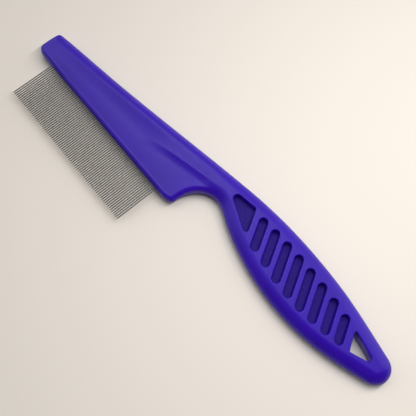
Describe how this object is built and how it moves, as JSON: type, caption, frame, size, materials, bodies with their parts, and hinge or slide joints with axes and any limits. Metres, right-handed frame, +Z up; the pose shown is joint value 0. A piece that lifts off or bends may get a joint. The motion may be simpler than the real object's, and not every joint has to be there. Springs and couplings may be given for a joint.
{
  "type": "flea comb",
  "caption": "Straight-backed moulded flea comb: a blade with a row of fine steel teeth, a finger notch at the neck and a leaf-shaped slotted grip with a hanging hole.",
  "frame": {"origin": "under the middle of the comb's bounding box, on the surface that the comb lies on", "axes": "+X from the nose to the tail of the grip, +Y from the teeth to the spine, +Z up, out of the upper face"},
  "size_m": [0.1986, 0.0452, 0.008],
  "materials": {
    "violet_plastic": "injection-moulded plastic with a soft satin sheen, solid violet",
    "steel_wire": "polished stainless steel wire with rounded tips"
  },
  "bodies": {
    "root": {"comb_body": "violet_plastic", "tooth_pair_01": "steel_wire", "tooth_pair_02": "steel_wire", "tooth_pair_03": "steel_wire", "tooth_pair_04": "steel_wire", "tooth_pair_05": "steel_wire", "tooth_pair_06": "steel_wire", "tooth_pair_07": "steel_wire", "tooth_pair_08": "steel_wire", "tooth_pair_09": "steel_wire", "tooth_pair_10": "steel_wire", "tooth_pair_11": "steel_wire", "tooth_pair_12": "steel_wire", "tooth_pair_13": "steel_wire", "tooth_pair_14": "steel_wire", "tooth_pair_15": "steel_wire", "tooth_pair_16": "steel_wire", "tooth_pair_17": "steel_wire", "tooth_pair_18": "steel_wire", "tooth_pair_19": "steel_wire", "tooth_pair_20": "steel_wire", "tooth_pair_21": "steel_wire", "tooth_pair_22": "steel_wire", "tooth_pair_23": "steel_wire", "tooth_pair_24": "steel_wire", "tooth_pair_25": "steel_wire", "tooth_pair_26": "steel_wire", "tooth_pair_27": "steel_wire", "tooth_pair_28": "steel_wire", "tooth_pair_29": "steel_wire", "tooth_pair_30": "steel_wire", "tooth_pair_31": "steel_wire", "tooth_pair_32": "steel_wire", "tooth_pair_33": "steel_wire", "tooth_pair_34": "steel_wire", "tooth_pair_35": "steel_wire", "tooth_pair_36": "steel_wire", "tooth_pair_37": "steel_wire", "tooth_pair_38": "steel_wire", "tooth_pair_39": "steel_wire"}
  },
  "joints": []
}
